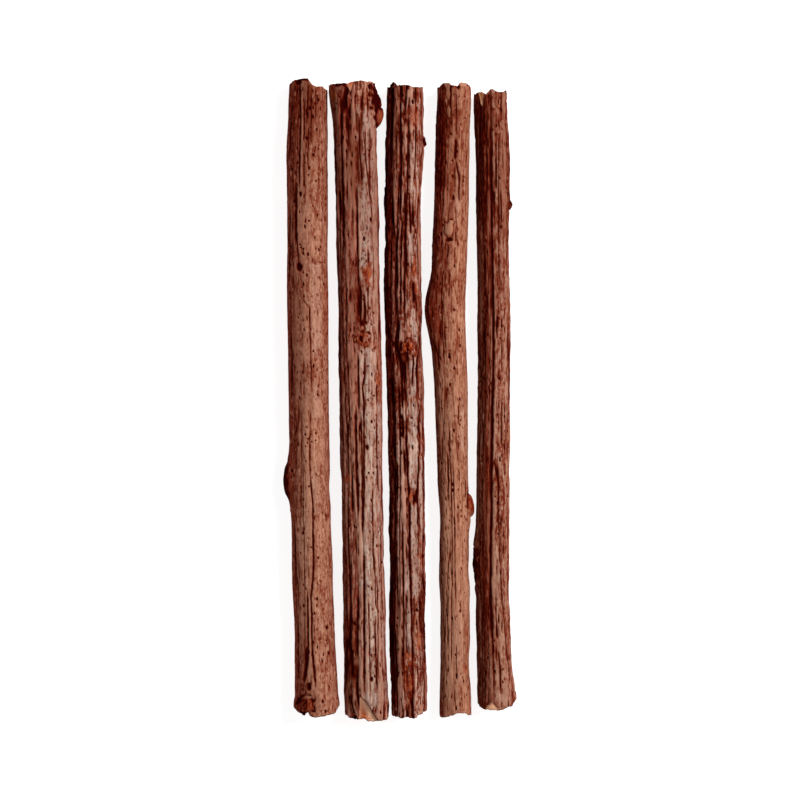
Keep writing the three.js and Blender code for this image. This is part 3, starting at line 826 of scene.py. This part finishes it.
twigFour = {
    "node": "twig_4", "slot": "tan_bark", "seed": 53,
    "swells": [(71, 180, 14, 8, -0.35), (70, 0, 14, 6, 0.2), (24, 180, 16, 6, 0.4),
        (-27, 180, 16, 6, -0.3), (-44, 0, 10, 5, 0.15), (-62, 0, 12, 5, -0.35), (37, 180, 14, 6, 0.2),
        (-42, 180, 12, 6, 0.28), (20, 0, 30, 6, -0.15), (-40, 0, 8, 6, -0.15)],
    "ridgeWidth": 1.6, "furrowEdge": 0.06, "furrowDark": 0.6, "ridgeRise": 0.08, "lumpRise": 0.08,
    "beadRise": 0.07, "crackDepth": 0.32, "tear": 0.25,
    "rough": [(-180, 0.7), (-90, 0.5), (0, 0.6), (20, 0.45), (50, 0.4), (70, 0.75), (130, 1), (180, 0.8)],
    "stain": [(-180, 0.6), (-90, 0.4), (0, 0.35), (14, 0.22), (35, 0.1), (70, 0.08), (90, 0.25),
        (105, 0.42), (120, 0.6), (138, 0.75), (180, 0.7)],
    "cracked": (27, (0.9, 11), (0.6, 6), (0.55, 1), (0.11, 0.22)),
    "fibres": (27, (0.9, 8), (1, 7), (0.3, 0.9), (0.13, 0.24)), "pores": 550, "specks": 700,
    "streaky": 0.6, "beaded": 0.75, "flecked": 0.4, "specked": 0.6, "haired": 0.55, "flecks": 0.7,
    "strips": 0.35,
    "greys": [(-12, 0, 48, 1.2, 0.5), (44, 54, 66, 1.2, 0.5), (-66, -50, 75, 2.0, 0.3)],
    "cracks": [([(61, 80), (56, 80)], 0.34, 1), ([(56, 78), (52, 66), (46, 64)], 0.22, 1),
        ([(-12, 110), (-24, 114)], 0.2, 1), ([(-45, 122), (-58, 124)], 0.2, 0.9),
        ([(-18.5, 35), (-23, 37)], 0.22, 0.9), ([(-1, 65), (-6, 66)], 0.16, 0.9),
        ([(-57, 87), (-64, 87)], 0.11, 1), ([(-43, 105), (-62, 108)], 0.15, 0.8),
        ([(66, 130), (45, 135)], 0.22, 0.9), ([(74, 100), (66, 98)], 0.2, 1),
        ([(72, 80), (66, 78)], 0.12, 0.9), ([(36, 97), (33, 99)], 0.22, 0.9),
        ([(-4, 103), (-24, 100), (-44, 100)], 0.16, 0.9), ([(-12, 90), (-50, 88)], 0.13, 0.8),
        ([(30, 112), (8, 110)], 0.16, 0.9)],
    "paleLines": [([(74, 108), (70, 107)], 0.3, 1), ([(69, 107), (66, 106)], 0.28, 1),
        ([(52, 74), (45, 74)], 0.28, 0.6), ([(66, 86), (58, 88)], 0.2, 0.7),
        ([(-28, 98), (-40, 100)], 0.16, 0.6), ([(-50, 112), (-66, 114)], 0.16, 0.6)],
    "pits": [(21, 68, 0.6, 0.5), (10, 90, 0.7, 0.6), (7.4, 75, 0.7, 0.6), (16.4, 51, 0.6, 0.5),
        (-19.6, 95, 0.8, 0.7), (-21, 95, 0.8, 0.7), (-51, 104, 0.8, 0.7), (47, 84, 0.7, 0.6),
        (37.3, 94, 0.8, 1.7), (73.4, 96, 0.8, 0.9), (73, 72, 1.2, 0.9), (73.6, 30, 0.6, 0.8),
        (-64.4, 86, 1.6, 0.5)],
    "lights": [(40, 95, 2.6, 1.7, 0.8), (73.9, 112, 1.2, 1.5, 1), (73.7, 56, 1, 2.2, 0.9),
        (72, 109, 3, 0.6, 1), (67.6, 107, 2.2, 0.6, 1)],
    "stainAndShadeSpots": [(20, 168, 9, 4, 0.8), (68, 148, 10, 3, 0.9)],
    "shades": [(58, 80, 44, 8, 0.35), (70, 122, 18, 4, 0.6), (68, 98, 16, 3, 0.4), (28, 112, 20, 5, 0.35),
        (-42, 112, 70, 7, -0.6), (-42, 80, 64, 8, -0.6), (-2, 125, 26, 6, -0.4), (12, 100, 10, 2, -0.3),
        (-56, 118, 40, 4, -0.3), (-68, 100, 8, 3, 0.35)],
    "scars": [(39.8, 95, 3.2, 2.1, dict(rise=0.25, rim=0.6, flow=0.3, wobble=0.9)),
        (-24.8, 8, 5.4, 3, dict(rise=0.85, rust=1, rim=0.9, flow=0.3, wobble=0.25, clear=1, whole=0.6)),
        (-62.7, 48, 3, 2, dict(rust=0.7)), (-55, 40, 6, 1.6, dict(rust=0.4)),
        (33, 4, 2, 1.2, dict(rust=0.5)), (60, 146, 26, 5, dict(dark=0.5)),
        (35, 165, 24, 4, dict(dark=0.35))],
    "chips": [],
    "headRim": [(175, 72.8), (149, 73.3), (129, 73.9), (119, 74.05), (104, 73.95), (99, 73.4), (86, 73.45),
        (73, 73.3), (69, 74), (45, 73.9), (26, 73.75), (5, 73.15)],
    "footRim": [(170, -74.1), (132, -74.1), (114, -73.75), (95, -73.45), (82, -73.1), (60, -73.1),
        (34, -73.6), (9, -73.75)],
    "colours": {"tan": (0.345, 0.143, 0.084), "brown": (0.26, 0.09, 0.047), "umber": (0.12, 0.016, 0.0045),
        "light": (0.52, 0.265, 0.17), "grey": (0.44, 0.27, 0.2), "stain": (0.5, 0.07, 0.01),
        "crack": (0.028, 0.0012, 0.0006), "rust": (0.24, 0.035, 0.011), "rustDark": (0.09, 0.009, 0.003),
        "wood": (0.54, 0.264, 0.148), "woodDark": (0.34, 0.132, 0.066), "heart": (0.5, 0.2, 0.1)}}

twigFive = {
    "node": "twig_5", "slot": "brown_bark", "seed": 71,
    "swells": [(56, 0, 26, 6, 0.5), (18, 0, 38, 6, 0.25), (57, 180, 20, 8, -0.25),
        (-40.5, 180, 8, 6, -0.35), (-33, 180, 8, 5, 0.35), (-16, 0, 10, 5, -0.2), (-45, 0, 10, 5, -0.2),
        (-52, 180, 12, 6, 0.2)],
    "ridgeWidth": 1.5, "furrowEdge": 0.07, "furrowDark": 0.8, "ridgeRise": 0.1, "lumpRise": 0.1,
    "beadRise": 0.13, "crackDepth": 0.4, "tear": 0.25,
    "rough": [(-180, 0.6), (-90, 0.6), (0, 0.8), (60, 1), (92, 1), (100, 0.85), (150, 0.85), (180, 0.8)],
    "stain": [(-180, 0.8), (-120, 0.5), (-40, 0.4), (0, 0.5), (16, 0.4), (35, 0.15), (60, 0.1), (84, 0.15),
        (93, 0.55), (100, 0.85), (118, 0.95), (135, 0.8), (155, 0.65), (180, 0.65)],
    "cracked": (26, (0.9, 10), (0.5, 5), (0.5, 1), (0.12, 0.25)),
    "fibres": (26, (0.8, 6), (0.7, 4), (0.4, 1), (0.14, 0.26)), "pores": 450, "specks": 700,
    "streaky": 0.6, "beaded": 0.75, "flecked": 0.5, "specked": 0.7, "haired": 0.6, "flecks": 0.7,
    "strips": 0.4, "greys": [],
    "cracks": [
        ([(75, 89), (56, 93), (41, 96), (31, 94), (18, 92), (8, 93), (-1, 97), (-17, 98), (-27, 95),
            (-47, 99), (-61, 96), (-73, 98)], 0.36, 1),
        ([(57, 75), (49, 76)], 0.22, 1), ([(49, 59), (41, 58)], 0.2, 0.9), ([(20, 78), (15, 78)], 0.28, 1),
        ([(68, 104), (45, 108)], 0.18, 1), ([(-45, 80), (-56, 82)], 0.12, 0.8),
        ([(-20, 72), (-30, 70)], 0.18, 0.8)],
    "paleLines": [([(68, 102), (52, 105), (41, 108), (24, 106), (10, 107)], 0.2, 1),
        ([(60, 116), (48, 119)], 0.2, 0.8), ([(36, 117), (24, 114)], 0.2, 0.7),
        ([(2, 86), (-18, 88)], 0.18, 0.9), ([(-20, 108), (-34, 106)], 0.2, 0.8),
        ([(-50, 110), (-66, 108)], 0.18, 0.8), ([(-4, 107), (-19, 107)], 0.2, 0.9),
        ([(-40, 108), (-48, 108)], 0.16, 0.9), ([(64, 82), (50, 85)], 0.2, 1),
        ([(33, 85), (18, 84)], 0.2, 0.9), ([(-39, 89), (-47, 91)], 0.3, 0.8),
        ([(66, 148), (50, 150)], 0.2, 0.8), ([(30, 147), (14, 149)], 0.2, 0.8),
        ([(2, 146), (-14, 148)], 0.2, 0.8), ([(-44, 149), (-62, 147)], 0.2, 0.8),
        ([(22, 101), (6, 101)], 0.2, 1), ([(-22, 103), (-44, 104)], 0.2, 0.9),
        ([(48, 101), (38, 103)], 0.2, 0.9)],
    "pits": [(64, 70, 0.6, 0.5), (5, 70, 0.7, 0.6), (-14, 66, 0.6, 0.5), (-24, 74, 0.6, 0.5),
        (72, 18, 0.8, 1)],
    "lights": [(72.2, 84, 1.2, 1, 0.9), (71.6, 104, 0.8, 1, 0.8), (-70.6, 62, 1.4, 0.8, 0.8),
        (-69, 72, 1.4, 0.6, 0.7)],
    "stainAndShadeSpots": [(-39, 172, 11, 4, 1), (-71, 135, 3, 3, 0.9)],
    "shades": [(60, 150, 34, 5, 0.5), (24, 118, 30, 4, 0.2), (52, 36, 60, 7, 0.6), (26, 78, 20, 3, 0.35),
        (60, 80, 18, 3, 0.25), (-64, 100, 22, 8, -0.55), (2, 99, 40, 1.8, -0.5), (-56, 82, 16, 2.4, -0.5),
        (-20, 160, 70, 4, -0.3), (-8, 36, 16, 4, -0.2)],
    "scars": [(45.6, 2, 2.4, 1.8, dict(rise=0.7, rim=0.8, dark=0.5, wobble=0.1)),
        (-69.6, 4, 3.4, 2.4, dict(rise=0.3)), (30, 2, 3, 1.4, dict(dark=0.6)),
        (56, 136, 30, 6.4, dict(dark=0.35)), (-50, 140, 40, 5, dict(dark=0.3)),
        (-39, 174, 7, 3.6, dict(rise=0.3, rim=0.6, dark=0.7))],
    "chips": [
        {"from": 68.5, "to": 72.3, "point": 123, "base": (114, 148), "bow": 1, "depth": 0.35, "bare": 1,
         "edge": 0.8, "orange": (0.6, 0.6, 1)},
        {"from": -70.7, "to": -72.6, "point": 102, "base": (74, 128), "bow": 0.4, "depth": 0.4, "bare": 1,
         "edge": 0.6, "orange": (0.5, 0.35, 0.1)}],
    "headRim": [(175, 71.4), (156, 71.6), (140, 71.9), (130, 72.15), (119, 71.7), (108, 71.35),
        (98, 71.95), (92, 72.4), (81, 72.6), (71, 72.05), (47, 72.05), (28, 71.9), (10, 72.4)],
    "footRim": [(178, -70.9), (160, -71.6), (141, -72), (127, -72.2), (105, -72.3), (83, -72.4), (62, -72),
        (26, -71.35), (15, -70.3), (4, -69.6)],
    "colours": {"tan": (0.265, 0.11, 0.067), "brown": (0.205, 0.072, 0.04), "umber": (0.09, 0.011, 0.0035),
        "light": (0.45, 0.26, 0.185), "grey": (0.36, 0.21, 0.15), "stain": (0.32, 0.065, 0.025),
        "crack": (0.02, 0.0007, 0.0004), "rust": (0.36, 0.12, 0.05), "rustDark": (0.2, 0.05, 0.02),
        "wood": (0.8, 0.42, 0.25), "woodDark": (0.66, 0.3, 0.17), "heart": (0.6, 0.22, 0.09)}}

for look in (twigOne, twigTwo, twigThree, twigFour, twigFive):
    growTwig(look)


# The floor, the lights and the camera

studio = {"floorSize": 6.0, "floorCurve": ((1.06, 0.04), (1.03, 0.1), (1.01, 0.34)),
          "floorColour": (0.4, 0.4, 0.4, 1), "floorGlow": 0.86,
          "keyPower": 6.0, "keySize": 0.3, "keyFrom": (0.42, 0.2, 0.5), "skyStrength": 0.3,
          "lens": 180, "view": 0.187}

bundleMiddle = (Vector(cadBox[0]) + Vector(cadBox[1])) / 2


def layFloor():
    # a wide plain disc whose edge curves up all round
    bm = bmesh.new()
    bmesh.ops.create_circle(bm, segments=64, radius=studio["floorSize"] / 2, cap_ends=True)
    rim = [edge for edge in bm.edges if edge.is_boundary]
    for outwards, upwards in studio["floorCurve"]:
        grown = bmesh.ops.extrude_edge_only(bm, edges=rim)["geom"]
        corners = [part for part in grown if isinstance(part, bmesh.types.BMVert)]
        bmesh.ops.scale(bm, vec=(outwards, outwards, 1), verts=corners)
        bmesh.ops.translate(bm, vec=(0, 0, upwards), verts=corners)
        rim = [part for part in grown if isinstance(part, bmesh.types.BMEdge)]
    mesh = bpy.data.meshes.new("floor")
    bm.to_mesh(mesh)
    bm.free()
    mesh.shade_smooth()
    floor = bpy.data.objects.new("floor", mesh)
    bpy.context.collection.objects.link(floor)
    material = bpy.data.materials.new("floor_white")
    material.use_nodes = True
    shader = material.node_tree.nodes["Principled BSDF"]
    shader.inputs["Base Color"].default_value = studio["floorColour"]
    shader.inputs["Roughness"].default_value = 0.9
    shader.inputs["Emission Color"].default_value = (1, 1, 1, 1)
    shader.inputs["Emission Strength"].default_value = studio["floorGlow"]
    floor.data.materials.append(material)


def hangLights():
    key = bpy.data.lights.new("key", "AREA")
    key.energy = studio["keyPower"]
    key.size = studio["keySize"]
    lamp = bpy.data.objects.new("key", key)
    lamp.location = studio["keyFrom"]
    lamp.rotation_euler = (bundleMiddle - lamp.location).to_track_quat("-Z", "Y").to_euler()
    bpy.context.collection.objects.link(lamp)
    world = bpy.data.worlds.new("studio")
    world.use_nodes = True
    sky = world.node_tree.nodes["Background"]
    sky.inputs["Color"].default_value = (1, 1, 1, 1)
    sky.inputs["Strength"].default_value = studio["skyStrength"]
    bpy.context.scene.world = world


def placeCamera():
    # straight above the bundle, looking down
    camera = bpy.data.cameras.new("camera")
    camera.lens = studio["lens"]
    camera.clip_start = 0.01
    distance = studio["view"] * studio["lens"] / camera.sensor_width
    holder = bpy.data.objects.new("camera", camera)
    holder.location = (bundleMiddle.x, bundleMiddle.y, bundleMiddle.z + distance)
    bpy.context.collection.objects.link(holder)
    bpy.context.scene.camera = holder


layFloor()
hangLights()
placeCamera()
bpy.context.scene.view_settings.view_transform = "Standard"
print("studio ready")
